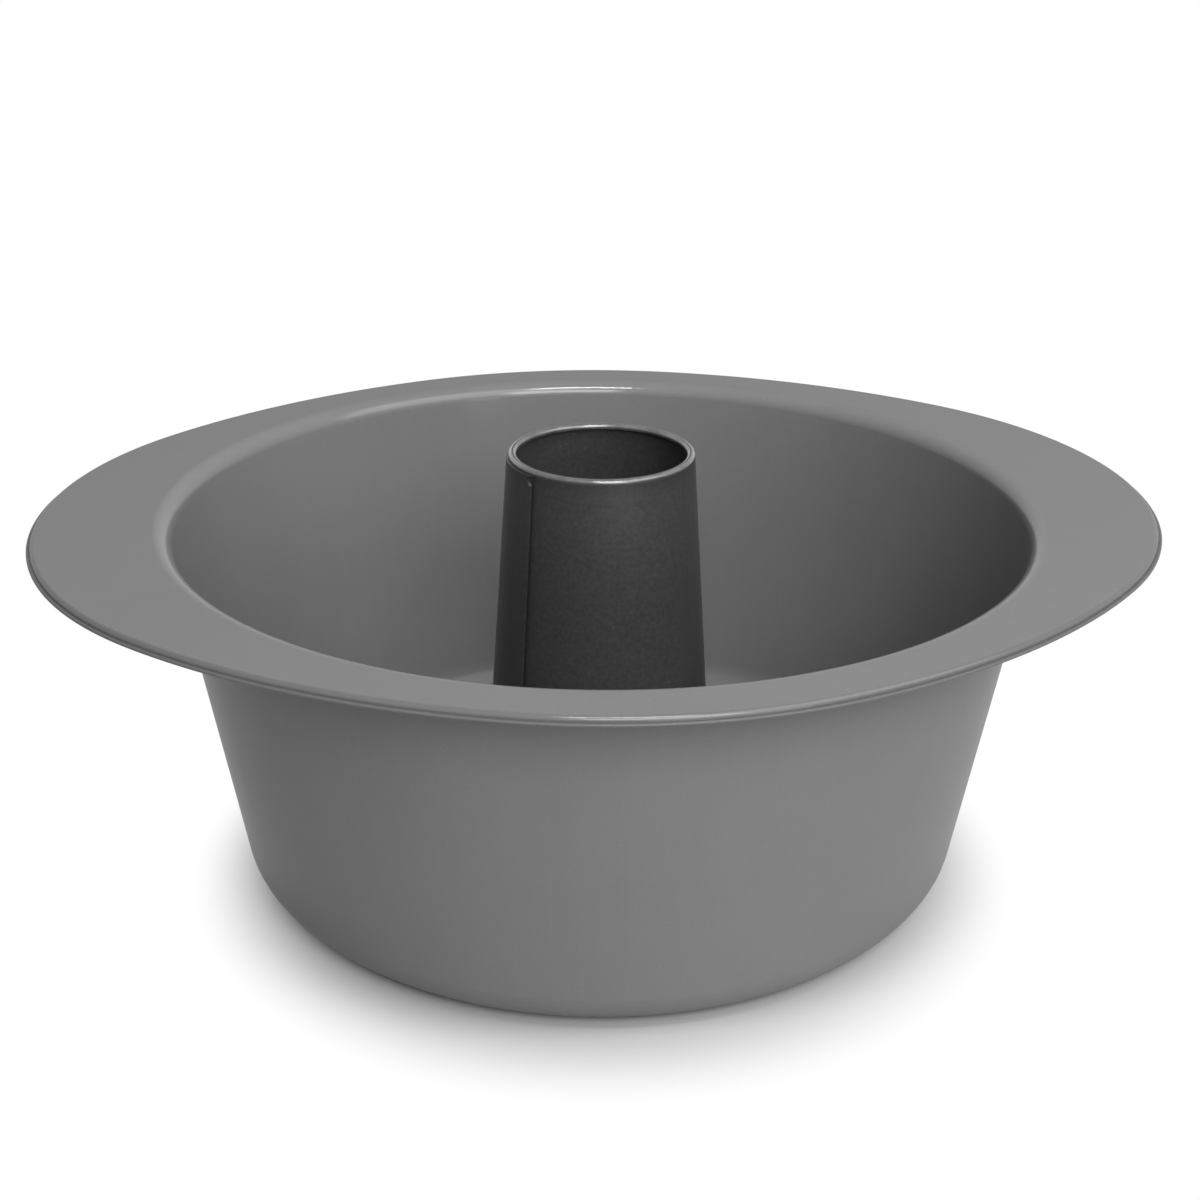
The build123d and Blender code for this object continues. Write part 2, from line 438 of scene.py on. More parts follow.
class SheetLoft:
    """The Geometry Nodes tree that carries a section round the pan's axis as one closed skin."""

    FLOATS = (*Oval().inputs(), *Lap().inputs(), *Drift().inputs())
    MARKS = ("share", "inset", "wear", "lap", "ripple", "sag", "soil")

    def __init__(self) -> None:
        """Builds the tree once."""
        self.tree = bpy.data.node_groups.new("lofted_sheet", "GeometryNodeTree")
        face = self.tree.interface
        face.new_socket("Skin", in_out="OUTPUT", socket_type="NodeSocketGeometry")
        face.new_socket("Section", in_out="INPUT", socket_type="NodeSocketGeometry")
        face.new_socket("Columns", in_out="INPUT", socket_type="NodeSocketInt")
        for name in self.FLOATS:
            face.new_socket(name, in_out="INPUT", socket_type="NodeSocketFloat")
        face.new_socket("Coating", in_out="INPUT", socket_type="NodeSocketMaterial")
        self.write()

    def read_section(self, g: Graph, source: Socket, row: Socket) -> dict[str, Socket]:
        """Reads each row's place and marks from the section.

        Args:
            g: The tree's graph.
            source: The section, a ring of points.
            row: Which of its points belongs to the row.

        Returns:
            The row's radius r, its height z and its marks.
        """

        def sample(kind: str, value: Socket) -> Socket:
            """Returns a value of the row's point."""
            inputs = {"Geometry": source, "Value": value, "Index": row}
            return g.add("GeometryNodeSampleIndex", inputs, data_type=kind).outputs[0]

        place = sample("FLOAT_VECTOR", g.add("GeometryNodeInputPosition").outputs[0])
        split = g.add("ShaderNodeSeparateXYZ", {0: place}).outputs
        section = {"r": split["X"], "z": split["Z"]}
        for name in self.MARKS:
            mark = g.add("GeometryNodeInputNamedAttribute", {"Name": name})
            section[name] = sample("FLOAT", mark.outputs["Attribute"])
        return section

    def write(self) -> None:
        """Writes the tree's nodes."""
        g = Graph(self.tree)
        m = g.math
        given = g.add("NodeGroupInput").outputs
        size = g.add("GeometryNodeAttributeDomainSize", {0: given["Section"]})
        count = size.outputs["Point Count"]
        across = g.plus(given["Columns"], 2.0)
        counts = {"Vertices X": g.plus(count, 1.0), "Vertices Y": across}
        grid = g.add("GeometryNodeMeshGrid", counts)
        index = g.add("GeometryNodeInputIndex").outputs[0]
        row = m("FLOOR", m("DIVIDE", g.plus(index, 0.5), across))
        column = g.minus(index, g.times(row, across))
        row = g.minus(row, g.times(count, g.above(row, g.minus(count, 0.5))))
        section = self.read_section(g, given["Section"], row)

        # The column's angle, with columns crowded towards the seam
        part = m("MINIMUM", m("DIVIDE", column, given["Columns"]), 1.0)
        wave = g.times(m("SINE", g.times(part, math.tau)), given["Crowding"])
        swept = g.minus(g.times(part, math.tau), wave)
        angle = g.plus(swept, given["Seam Angle"])
        cosine, sine = m("COSINE", angle), m("SINE", angle)
        folded = m("ARCTAN2", m("ABSOLUTE", sine), m("ABSOLUTE", cosine))

        # The oval's arc for this direction of the outline's normal
        tip = m("LESS_THAN", folded, given["Tip Angle"])
        front = g.above(folded, given["Flank Angle"])
        flank = g.minus(g.minus(1.0, tip), front)
        centre_x = g.plus(g.times(tip, given["Tip X"]), g.times(flank, given["Flank X"]))
        centre_x = g.times(centre_x, m("SIGN", cosine))
        centre_y = g.times(flank, given["Flank Y"], m("SIGN", sine))
        arc = g.plus(
            g.times(tip, given["Tip Radius"]),
            g.times(flank, given["Flank Radius"]),
            g.times(front, given["Front Radius"]),
        )

        # The lap's outer layer stands out before the free edge and fades away from it
        under = g.minus(1.0, g.above(column, g.plus(given["Columns"], 0.5)))
        behind = g.minus(math.tau, swept)
        fade = m("DIVIDE", behind, given["Lap Spread"], clamp=True)
        fade = m("COSINE", g.times(fade, math.pi / 2))
        drop = g.minus(section["z"], given["Notch Height"])
        along = g.times(behind, section["r"])
        away = m("SQRT", g.plus(g.times(drop, drop), g.times(along, along)))
        whole = g.above(away, given["Notch Radius"])
        stand = g.times(fade, given["Lap Depth"], under, whole, section["lap"])

        # Painted shade in the crease at the foot of the free edge, where the gap between the layers
        # lies in shadow
        past = g.times(swept, under, section["r"])
        crease = m("EXPONENT", g.times(m("DIVIDE", past, given["Crease"]), -1.0))
        soil = m("ADD", g.times(crease, section["lap"]), section["soil"], clamp=True)

        outer = g.times(section["share"], g.minus(arc, section["inset"]))
        radius = g.times(g.minus(1.0, section["share"]), section["r"])
        radius = g.plus(radius, g.plus(outer, stand))

        # Formed sheet wanders a little from its true shape
        rise = g.times(section["z"], RIPPLE_RISE)
        spot = g.add("ShaderNodeCombineXYZ", {0: cosine, 1: sine, 2: rise}).outputs[0]
        drift = g.add(
            "ShaderNodeTexNoise",
            {"Vector": spot, "W": given["Seed"], "Scale": given["Ripple Scale"], "Detail": 1.0},
            noise_dimensions="4D",
        ).outputs[0]
        drift = g.minus(drift, 0.5)
        radius = g.plus(radius, g.times(drift, section["ripple"], given["Ripple"]))
        lower = g.times(m("ADD", drift, 0.5, clamp=True), section["sag"], given["Sag"])
        height = g.minus(section["z"], lower)

        x = g.plus(g.times(centre_x, section["share"]), g.times(cosine, radius))
        y = g.plus(g.times(centre_y, section["share"]), g.times(sine, radius))
        position = g.add("ShaderNodeCombineXYZ", {0: x, 1: y, 2: height}).outputs[0]
        skin = grid.outputs["Mesh"]
        for name, value in (("wear", section["wear"]), ("soil", soil)):
            store = {"Geometry": skin, "Name": name, "Value": value}
            skin = g.add("GeometryNodeStoreNamedAttribute", store).outputs[0]
        for kind, inputs in (
            ("GeometryNodeSetPosition", {"Position": position}),
            ("GeometryNodeMergeByDistance", {"Distance": WELD}),
            ("GeometryNodeSetShadeSmooth", {}),
            ("GeometryNodeRealizeInstances", {}),
            ("GeometryNodeSetMaterial", {"Material": given["Coating"]}),
        ):
            skin = g.add(kind, {"Geometry": skin, **inputs}).outputs[0]
        g.add("NodeGroupOutput", {"Skin": skin})

    def skin(
        self, name: str, stations: list[Station], columns: int, inputs: dict[str, float],
        coating: bpy.types.Material,
    ) -> bpy.types.Object:
        """Lofts one sheet.

        Args:
            name: The new piece's name.
            stations: The closed section.
            columns: How many faces go round.
            inputs: The loft's named sizes.
            coating: The material of the skin.

        Returns:
            The finished piece, a plain mesh with its faces outwards.
        """
        mesh = bpy.data.meshes.new(name + "_section")
        ring = len(stations)
        spots = [(s.r, 0.0, s.z) for s in stations]
        mesh.from_pydata(spots, [(i, (i + 1) % ring) for i in range(ring)], [])
        for mark in self.MARKS:
            values = [getattr(s, mark) for s in stations]
            mesh.attributes.new(mark, "FLOAT", "POINT").data.foreach_set("value", values)
        seed = added(name + "_section", mesh)
        loft = seed.modifiers.new("Loft", "NODES")
        loft.node_group = self.tree
        items = self.tree.interface.items_tree
        sockets = {item.name: item.identifier for item in items if item.in_out == "INPUT"}
        for key, value in {"Columns": columns, **inputs, "Coating": coating}.items():
            loft[sockets[key]] = value
        graph = bpy.context.evaluated_depsgraph_get()
        skin = bpy.data.meshes.new_from_object(seed.evaluated_get(graph))
        skin.name = name
        bpy.data.objects.remove(seed)
        bpy.data.meshes.remove(mesh)
        if signed_volume(skin) < 0:
            skin.flip_normals()
        skin.set_sharp_from_angle(angle=SHARP_ANGLE)
        return added(name, skin)


def signed_volume(mesh: bpy.types.Mesh) -> float:
    """Returns a mesh's volume, which is negative where its faces point inwards."""
    mesh.calc_loop_triangles()
    spots = mesh.vertices
    triangles = (t.vertices for t in mesh.loop_triangles)
    corners = ((spots[a].co, spots[b].co, spots[c].co) for a, b, c in triangles)
    return sum(a.dot(b.cross(c)) for a, b, c in corners) / 6.0


# Finishes


class Effect(Enum):
    SPECKLE = "fine_speckle"
    MARKS = "handling_marks"
    RUB = "edge_rub_and_painted_shade"
    GRAIN = "drawing_grain"


class EffectKit:
    """Builds each shared shader effect once, as a node group of masks and heights."""

    DOT_CORE_SHARE = 0.55  # of a dot's size, inside which it is full
    DOT_CUT = 0.62  # a cell's random number has to pass it for a dot
    DOT_DEPTH = 0.8  # against the grain's height
    CLOUD_RANGE = (0.42, 0.68)  # noise at which a smudge starts and is full
    FINE_RANGE = (0.4, 0.72)
    FINE_FACTOR = 5.5  # how much finer a smudge's break-up is
    PATCH_RANGE = (0.38, 0.66)  # noise at which rubbing starts and is full

    def __init__(self) -> None:
        """Starts with no effect built."""
        self.built: dict[Effect, bpy.types.NodeTree] = {}

    def start(
        self, effect: Effect, inputs: dict[str, float], outputs: tuple[str, ...]
    ) -> tuple[Graph, Sockets]:
        """Opens a new group.

        Args:
            effect: Which effect it is for.
            inputs: Its number inputs and their defaults. A Vector input comes first.
            outputs: Its number outputs.

        Returns:
            The group's graph and what its input node gives.
        """
        tree = bpy.data.node_groups.new(effect.value, "ShaderNodeTree")
        face = tree.interface
        face.new_socket("Vector", in_out="INPUT", socket_type="NodeSocketVector")
        for name, value in inputs.items():
            socket = face.new_socket(name, in_out="INPUT", socket_type="NodeSocketFloat")
            socket.default_value = value
        for name in outputs:
            face.new_socket(name, in_out="OUTPUT", socket_type="NodeSocketFloat")
        self.built[effect] = tree
        graph = Graph(tree)
        return graph, graph.add("NodeGroupInput").outputs

    def speckle(self) -> None:
        """Builds the sprayed coating's fine grain and its scattered dots."""
        inputs = {"Grain Scale": 2600.0, "Dot Scale": 260.0, "Dot Size": 0.09}
        g, at = self.start(Effect.SPECKLE, inputs, ("Grain", "Dots", "Height"))
        grain = g.noise(at["Vector"], at["Grain Scale"], 1.0)
        spread = {"Vector": at["Vector"], "Scale": at["Dot Scale"]}
        cells = g.add("ShaderNodeTexVoronoi", spread).outputs
        core = g.times(at["Dot Size"], self.DOT_CORE_SHARE)
        dots = g.ramp(cells["Distance"], at["Dot Size"], core)
        pick = g.add("ShaderNodeSeparateColor", {0: cells["Color"]}).outputs[0]
        dots = g.times(dots, g.above(pick, self.DOT_CUT))
        height = g.minus(grain, g.times(dots, self.DOT_DEPTH))
        g.add("NodeGroupOutput", {"Grain": grain, "Dots": dots, "Height": height})

    def marks(self) -> None:
        """Builds the faint cloudy smudges of a handled coating."""
        g, at = self.start(Effect.MARKS, {"Scale": 28.0}, ("Cloud", "Smudge"))
        cloud = g.noise(at["Vector"], at["Scale"], 3.0, 0.6)
        fine = g.noise(at["Vector"], g.times(at["Scale"], self.FINE_FACTOR), 4.0, 0.62)
        smudge = g.times(g.ramp(cloud, *self.CLOUD_RANGE), g.ramp(fine, *self.FINE_RANGE))
        g.add("NodeGroupOutput", {"Cloud": cloud, "Smudge": smudge})

    def rub(self) -> None:
        """Builds the uneven rubbing of the edges that the wear attribute marks, and reads the mark
        of painted shade.
        """
        inputs = {"Scale": 160.0, "Amount": 0.5}
        g, at = self.start(Effect.RUB, inputs, ("Mask", "Crest", "Soil"))
        worn, soil = (
            g.add("ShaderNodeAttribute", attribute_name=name).outputs["Fac"]
            for name in ("wear", "soil")
        )
        patch = g.ramp(g.noise(at["Vector"], at["Scale"], 4.0, 0.65), *self.PATCH_RANGE)
        mask = g.math("MULTIPLY", g.times(worn, patch), at["Amount"], clamp=True)
        g.add("NodeGroupOutput", {"Mask": mask, "Crest": worn, "Soil": soil})

    def grain(self) -> None:
        """Builds the faint streaks that drawing leaves down a wall."""
        g, at = self.start(Effect.GRAIN, {"Around": 90.0, "Along": 6.0}, ("Streak",))
        split = g.add("ShaderNodeSeparateXYZ", {0: at["Vector"]}).outputs
        flat = g.add("ShaderNodeCombineXYZ", {0: split["X"], 1: split["Y"]}).outputs[0]
        way = g.add("ShaderNodeVectorMath", {0: flat}, operation="NORMALIZE").outputs[0]
        around = {0: way, "Scale": at["Around"]}
        spun = g.add("ShaderNodeVectorMath", around, operation="SCALE").outputs[0]
        rise = g.times(split["Z"], at["Along"])
        lift = g.add("ShaderNodeCombineXYZ", {2: rise}).outputs[0]
        spot = g.add("ShaderNodeVectorMath", {0: spun, 1: lift}, operation="ADD").outputs[0]
        g.add("NodeGroupOutput", {"Streak": g.noise(spot, 1.0, 3.0, 0.6)})

    def use(self, graph: Graph, effect: Effect, inputs: Inputs) -> Sockets:
        """Places an effect in a material.

        Args:
            graph: The material's graph.
            effect: Which effect.
            inputs: What to feed it.

        Returns:
            The outputs of the placed group.
        """
        if effect not in self.built:
            getattr(self, effect.name.lower())()
        return graph.add("ShaderNodeGroup", inputs, node_tree=self.built[effect]).outputs


@dataclass(frozen=True)
class SatinCoating:
    """A sprayed satin non-stick coating on formed sheet.

    gloss is the clear layer's share on flat sheet, and crest_gloss what full wear adds to it, as
    pressed bends come out smoother. The spreads and amounts say how far each effect changes it.
    """

    name: str
    slot: str
    colour: Colour
    light_speck: Colour
    rubbed: Colour
    roughness: float
    shine: float
    gloss: float
    gloss_roughness: float
    crest_gloss: float
    # how far painted shade darkens the colour and thins the clear layer
    soil_amount: float
    grain_scale: float
    grain_depth: float
    speck_amount: float
    streak_amount: float
    smudge_amount: float
    rub_amount: float
    roughness_spread: float = 0.06
    dot_amount: float = 0.55
    smudge_share: float = 0.6
    rub_polish: float = 0.12

    def material(self, kit: EffectKit) -> bpy.types.Material:
        """Builds the coating's material.

        Args:
            kit: The shared effects.

        Returns:
            The material.
        """
        made = bpy.data.materials.new(self.name)
        g = emptied(made)
        at = g.add("ShaderNodeTexCoord").outputs["Object"]
        speckle = kit.use(g, Effect.SPECKLE, {"Vector": at, "Grain Scale": self.grain_scale})
        marks = kit.use(g, Effect.MARKS, {"Vector": at})
        rub = kit.use(g, Effect.RUB, {"Vector": at, "Amount": self.rub_amount})
        streak = kit.use(g, Effect.GRAIN, {"Vector": at})["Streak"]

        tone = g.swing(marks["Cloud"], self.smudge_amount, 1.0)
        tone = g.swing(streak, self.streak_amount, tone)
        tone = g.swing(speckle["Grain"], self.speck_amount, tone)
        scaled = {0: self.colour, "Scale": tone}
        shade = g.add("ShaderNodeVectorMath", scaled, operation="SCALE").outputs[0]
        dots = g.times(speckle["Dots"], self.dot_amount)
        colour = g.blend_colour(dots, shade, self.light_speck)
        colour = g.blend_colour(rub["Mask"], colour, self.rubbed)

        smudged = self.roughness_spread * self.smudge_share
        rough = g.swing(marks["Cloud"], self.roughness_spread, self.roughness)
        rough = g.math("MULTIPLY_ADD", marks["Smudge"], smudged, rough)
        rough = g.math("MULTIPLY_ADD", rub["Mask"], -self.rub_polish, rough)
        # painted shade: where the shade mark is set, the colour darkens and the clear layer thins
        unshaded = g.math("MULTIPLY_ADD", rub["Soil"], -self.soil_amount, 1.0, clamp=True)
        colour = g.blend_colour(unshaded, PAINTED_SHADE_COLOUR, colour)
        gloss = g.math("MULTIPLY_ADD", rub["Crest"], self.crest_gloss, self.gloss, clamp=True)
        height = {"Strength": 1.0, "Distance": self.grain_depth, "Height": speckle["Height"]}
        surface = g.add(
            "ShaderNodeBsdfPrincipled",
            {
                "Base Color": colour,
                "Roughness": rough,
                "Specular IOR Level": self.shine,
                "Coat Weight": g.times(gloss, unshaded),
                "Coat Roughness": self.gloss_roughness,
                "Coat IOR": COAT_INDEX,
                "Normal": g.add("ShaderNodeBump", height).outputs[0],
            },
        )
        g.add("ShaderNodeOutputMaterial", {"Surface": surface.outputs[0]})
        made.diffuse_color = (*self.colour, 1.0)
        return made


class Finish(Enum):
    """The pan's two coatings."""

    SHELL = SatinCoating(
        name="grey_satin_coating",
        slot="shell_coating",
        colour=(0.165, 0.165, 0.165),
        light_speck=(0.21, 0.21, 0.21),
        rubbed=(0.3, 0.3, 0.3),
        roughness=0.5,
        shine=0.08,
        gloss=0.15,
        gloss_roughness=0.13,
        crest_gloss=2.0,
        soil_amount=0.8,
        grain_scale=1800.0,
        grain_depth=0.004 * MM,
        speck_amount=0.12,
        streak_amount=0.05,
        smudge_amount=0.12,
        rub_amount=0.15,
    )
    INSERT = SatinCoating(
        name="charcoal_satin_coating",
        slot="insert_coating",
        colour=(0.04, 0.04, 0.041),
        light_speck=(0.1, 0.1, 0.1),
        rubbed=(0.16, 0.16, 0.16),
        roughness=0.42,
        shine=0.2,
        gloss=0.22,
        gloss_roughness=0.2,
        crest_gloss=1.2,
        soil_amount=0.85,
        grain_scale=900.0,
        grain_depth=0.006 * MM,
        speck_amount=0.6,
        streak_amount=0.12,
        smudge_amount=0.1,
        rub_amount=0.6,
    )


# The pan's pieces


@dataclass
class PanPiece:
    """What the pan's three pieces share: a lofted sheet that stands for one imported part."""

    name: str = ""
    node: str = ""
    body: str = ""
    finish: Finish = Finish.SHELL
    outline: Oval = Oval()
    drift: Drift = Drift()
    columns: int = 0

    def section(self) -> list[Station]:
        """Returns the closed section, which each piece bends in its own way."""
        raise NotImplementedError

    def lap(self) -> Lap:
        """Returns the piece's lap seam, which has no depth where there is none."""
        return Lap()

    def build(self, loft: SheetLoft, coating: bpy.types.Material) -> None:
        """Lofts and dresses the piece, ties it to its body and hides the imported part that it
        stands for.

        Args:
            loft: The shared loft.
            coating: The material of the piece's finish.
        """
        inputs = {**self.outline.inputs(), **self.lap().inputs(), **self.drift.inputs()}
        piece = loft.skin(self.name, self.section(), self.columns, inputs, coating)
        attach(piece, self.body)
        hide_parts(self.node)
        log.info("%s: %d faces, on %s", piece.name, len(piece.data.polygons), self.body)


@dataclass
class PanShell(PanPiece):
    """The tapered bowl with its ledge, its oval flange and its two wings, from one sheet."""

    name: str = "pan_shell_skin"
    node: str = "pan_shell"
    body: str = "shell"
    drift: Drift = Drift(0.3 * MM, 0.2 * MM, ripple_scale=1.6, seed=3.0)
    columns: int = 384
    sheet: float = 0.8 * MM
    height: float = 103.0 * MM
    base_radius: float = 100.5 * MM
    mouth_radius: float = 117.3 * MM
    corner_bend: float = 11.5 * MM
    mouth_bend: float = 4.2 * MM
    collar_width: float = 0.8 * MM
    oval_start: float = 4.0 * MM
    ledge_width: float = 9.0 * MM
    edge_bend: float = 0.5 * MM
    crest_hold: float = 1.2 * MM
    lip_width: float = 0.9 * MM
    lip_round: float = 0.32 * MM
    lip_hold: float = 0.1 * MM
    fold_round: float = 0.05 * MM
    groove_round: float = 0.04 * MM
    tuck: float = 0.05 * MM
    true_foot: float = 14.0 * MM
    true_top: float = 8.0 * MM
    longest_run: float = 7.0 * MM
    corner_wear: float = 0.08
    mouth_wear: float = 0.2
    crest_wear: float = 0.2
    # painted shade on the turned-down edge, in the groove above the lip and on the lip
    crest_soil: float = 0.45
    crest_shade_fade_angle: float = 0.5
    groove_soil: float = 0.7
    groove_foot_soil: float = 0.8
    lip_soil: float = 0.42
    lip_steps: int = 4
    crest_steps: int = 10

    def edge(self) -> list[Station]:
        """Returns the flange's outer edge: the turned-down edge and the small lip below it."""
        run = self.mouth_radius + self.oval_start
        under = self.height - self.sheet
        lip_top, lip_low = under - self.edge_bend, under - self.edge_bend - self.sheet
        inner = self.lip_width + self.sheet
        rounded = self.edge_bend + self.sheet

        def at(inset: float, z: float, wear: float = 0.0, soil: float = 0.0) -> Station:
            """Returns a station on the oval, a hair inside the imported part's facets."""
            return Station(run, z, share=1.0, inset=inset + self.tuck, wear=wear, soil=soil)

        turned = [at(inner + self.edge_bend + HOLD, under)]
        fold = rounded_corner(self.edge_bend, self.lip_steps)
        turned += [at(inner + inset, under - drop) for inset, drop in fold]
        turned.append(at(inner, lip_low + self.fold_round))
        turned.append(at(inner - self.fold_round, lip_low))
        turned.append(at(self.lip_round + self.lip_hold, lip_low))
        lip = rounded_corner(self.lip_round, self.lip_steps)
        # painted shade on the lip and in the groove above it
        turned += [at(inset, lip_low + rise, soil=self.lip_soil) for inset, rise in lip]
        turned += [at(inset, lip_top - drop, soil=self.lip_soil) for drop, inset in lip]
        turned.append(at(self.lip_round + self.lip_hold, lip_top, soil=self.lip_soil))
        turned.append(at(self.lip_width - self.groove_round, lip_top, soil=self.groove_soil))
        turned.append(at(self.lip_width, lip_top + self.groove_round, soil=self.groove_soil))
        for a in quarter(self.crest_steps)[1:]:
            inset = self.lip_width + rounded * (1 - math.cos(a))
            wear = self.crest_wear * math.sin(2 * a)
            # painted shade over the lower turned-down edge, darkest at the groove's foot and fading
            # out towards the top; it also dims the edge's highlight
            faded = self.crest_soil * min(1.0, (math.pi / 2 - a) / self.crest_shade_fade_angle)
            soil = max(self.groove_foot_soil - a, faded)
            turned.append(at(inset, lip_top + rounded * math.sin(a), wear, soil))
        turned.append(at(self.lip_width + rounded + HOLD, self.height))
        return turned + [at(self.lip_width + rounded + self.crest_hold, self.height)]

    def section(self) -> list[Station]:
        """Returns the closed section, from the ledge's hole out and back."""
        under = self.height - self.sheet
        slope = (self.mouth_radius - self.base_radius) / self.height
        bend_reach = math.tan((math.pi / 2 - math.atan(slope)) / 2)
        corner = self.base_radius + slope * under
        ledge = self.base_radius - (self.corner_bend + self.sheet) * bend_reach
        collar = corner + self.mouth_bend * bend_reach + self.collar_width
        path = [
            (ledge - self.ledge_width, 0.0),
            (self.base_radius, 0.0),
            (corner, under),
            (collar, under),
        ]
        bends = [Bend(self.corner_bend, self.corner_wear), Bend(self.mouth_bend, self.mouth_wear)]
        loop = SheetSection(path, bends, self.sheet).loop(end_cut=False)
        turn = next(i for i, s in enumerate(loop) if s.r == max(t.r for t in loop))
        loop = refined(loop[: turn + 1] + self.edge() + loop[turn + 1:], self.longest_run)
        top = self.height - self.true_top
        return [
            replace(s, ripple=0.0 if s.share else bump(s.z, self.true_foot, top), sag=s.share)
            for s in loop
        ]


@dataclass
class LooseFloor(PanPiece):
    """The lift-out floor: a disc on the ledge, stepped up to its middle, with one pressed ring."""

    name: str = "loose_floor_skin"
    node: str = "base_plate"
    body: str = "insert"
    finish: Finish = Finish.INSERT
    columns: int = 288
    sheet: float = 0.8 * MM
    hole_radius: float = 31.1 * MM
    bead_radius: float = 56.42 * MM
    bead_half_width: float = 4.0 * MM
    bead_height: float = 1.2 * MM
    bead_bend: float = 2.0 * MM
    bead_wear: float = 0.1
    step_radius: float = 79.54 * MM
    step_run: float = 3.0 * MM
    step_bend: float = 1.2 * MM
    step_wear: float = 0.4
    outer_radius: float = 89.24 * MM
    rest_height: float = 0.8 * MM
    raised: float = 3.0 * MM
    longest_run: float = 6.0 * MM

    def section(self) -> list[Station]:
        """Returns the closed section, from the tube's hole out to the rim and back."""
        low, high = self.rest_height, self.rest_height + self.raised
        path = [
            (self.hole_radius, high),
            (self.bead_radius - self.bead_half_width, high),
            (self.bead_radius, high + self.bead_height),
            (self.bead_radius + self.bead_half_width, high),
            (self.step_radius - self.step_run, high),
            (self.step_radius, low),
            (self.outer_radius, low),
        ]
        ring = Bend(self.bead_bend, self.bead_wear)
        fold = Bend(self.step_bend, self.step_wear)
        sheet = SheetSection(path, [ring, ring, ring, fold, fold], self.sheet)
        return refined(sheet.loop(), self.longest_run)


@dataclass
class CenterTube(PanPiece):
    """The tapered tube rolled from sheet, with its lap seam, rolled rim and clinched foot."""

    name: str = "center_tube_skin"
    node: str = "center_tube"
    body: str = "insert"
    finish: Finish = Finish.INSERT
    drift: Drift = Drift(0.14 * MM, ripple_scale=2.4, seed=8.0)
    columns: int = 264
    sheet: float = 0.7 * MM
    top: float = 117.5 * MM
    top_radius: float = 25.4 * MM
    foot_radius: float = 33.3 * MM
    floor_top: float = 4.6 * MM
    floor_under: float = 3.8 * MM
    neck_radius: float = 30.9 * MM
    neck_bend: float = 0.15 * MM
    clinch_width: float = 3.5 * MM
    shoulder_bend: float = 0.6 * MM
    shoulder_wear: float = 0.5
    hem_width: float = 2.2 * MM
    hem_bend: float = 0.36 * MM
    hem_depth: float = 1.5 * MM
    hem_wear: float = 0.9
    seam_angle: float = math.radians(-144.0)
    seam_crowding: float = 0.8
    lap_step: float = 0.02 * MM
    lap_hold: float = 0.2 * MM
    wall_step: float = 4.0 * MM
    wall_steps: int = 25
    wall_ripple: float = 0.7
    notch_radius: float = 1.3 * MM
    notch_margin: float = 0.2 * MM
    notch_step: float = 0.12 * MM
    notch_top_gap: float = 0.05 * MM
    # painted shade on the wall just under the rolled rim, and how far down it fades
    rim_shade: float = 0.5
    rim_shade_reach: float = 4.0 * MM
    longest_run: float = 6.0 * MM

    @property
    def lap_ends(self) -> tuple[float, float]:
        """Returns the heights at which the lap's outer layer starts and ends."""
        return self.floor_top + 2 * (self.sheet + self.shoulder_bend), self.top - self.hem_depth

    @property
    def notch_height(self) -> float:
        """Returns the height of the middle of the notch at the seam's top."""
        return self.lap_ends[1] - self.notch_radius

    def section(self) -> list[Station]:
        """Returns the closed section, from the clinch up the outside and back down the bore."""
        inner = self.top_radius - self.hem_width
        path = [
            (self.neck_radius + self.clinch_width, self.floor_under),
            (self.neck_radius, self.floor_under),
            (self.neck_radius, self.floor_top),
            (self.foot_radius, self.floor_top),
            (self.top_radius, self.top),
            (inner, self.top),
            (inner, self.top - self.hem_depth),
        ]
        neck, hem = Bend(self.neck_bend), Bend(self.hem_bend, self.hem_wear)
        bends = [neck, neck, Bend(self.shoulder_bend, self.shoulder_wear), hem, hem]
        loop = SheetSection(path, bends, self.sheet).loop()
        low, high = self.lap_ends
        foot = next(i for i, s in enumerate(loop) if s.z > low)
        crown = next(i for i, s in enumerate(loop) if s.z > high)
        slope = (self.top_radius - self.foot_radius) / (self.top - self.floor_top)

        def on_wall(z: float, lap: float = 1.0) -> Station:
            """Returns a station on the tube's outer face."""
            # painted shade under the rim, fading out downwards
            shaded = self.rim_shade * max(0.0, 1.0 - (high - z) / self.rim_shade_reach)
            place = self.foot_radius + slope * (z - self.floor_top)
            ripple = bump(z, low, high) * self.wall_ripple
            return Station(place, z, lap=lap, ripple=ripple, soil=shaded)

        steps = (low + self.wall_step + self.wall_step * i for i in range(self.wall_steps))
        heights = [low + self.lap_step, low + self.lap_hold, *steps, *self.notch_heights()]
        wall = [on_wall(low, 0.0), *(on_wall(z) for z in heights)]
        wall += [on_wall(high - self.lap_step), on_wall(high, 0.0)]
        return refined(loop[:foot] + wall + loop[crown:], self.longest_run)

    def notch_heights(self) -> list[float]:
        """Returns the close-set heights round the notch at the seam's top."""
        reach = self.notch_radius + self.notch_margin
        count = int(2 * reach / self.notch_step)
        heights = [self.notch_height - reach + self.notch_step * i for i in range(count)]
        return [z for z in heights if z < self.lap_ends[1] - self.notch_top_gap]

    def lap(self) -> Lap:
        """Returns the tube's lap seam."""
        return Lap(
            seam_angle=self.seam_angle,
            lap_depth=self.sheet,
            crowding=self.seam_crowding,
            notch_height=self.notch_height,
            notch_radius=self.notch_radius,
        )


# The studio


@dataclass(frozen=True)
class Softbox:
    """A rectangular area lamp, where it stands and how large and strong it is."""

    name: str
    place: tuple[float, float, float]
    width: float
    depth: float
    watts: float
    aim: tuple[float, float, float] = (0.0, 0.0, 0.06)

    def hang(self) -> None:
        """Adds the lamp to the scene."""
        lamp = bpy.data.lights.new(self.name, "AREA")
        lamp.shape = "RECTANGLE"
        lamp.size, lamp.size_y, lamp.energy = self.width, self.depth, self.watts
        holder = added(self.name, lamp)
        holder.location = self.place
        way = Vector(self.aim) - Vector(self.place)
        holder.rotation_euler = way.to_track_quat("-Z", "Y").to_euler()


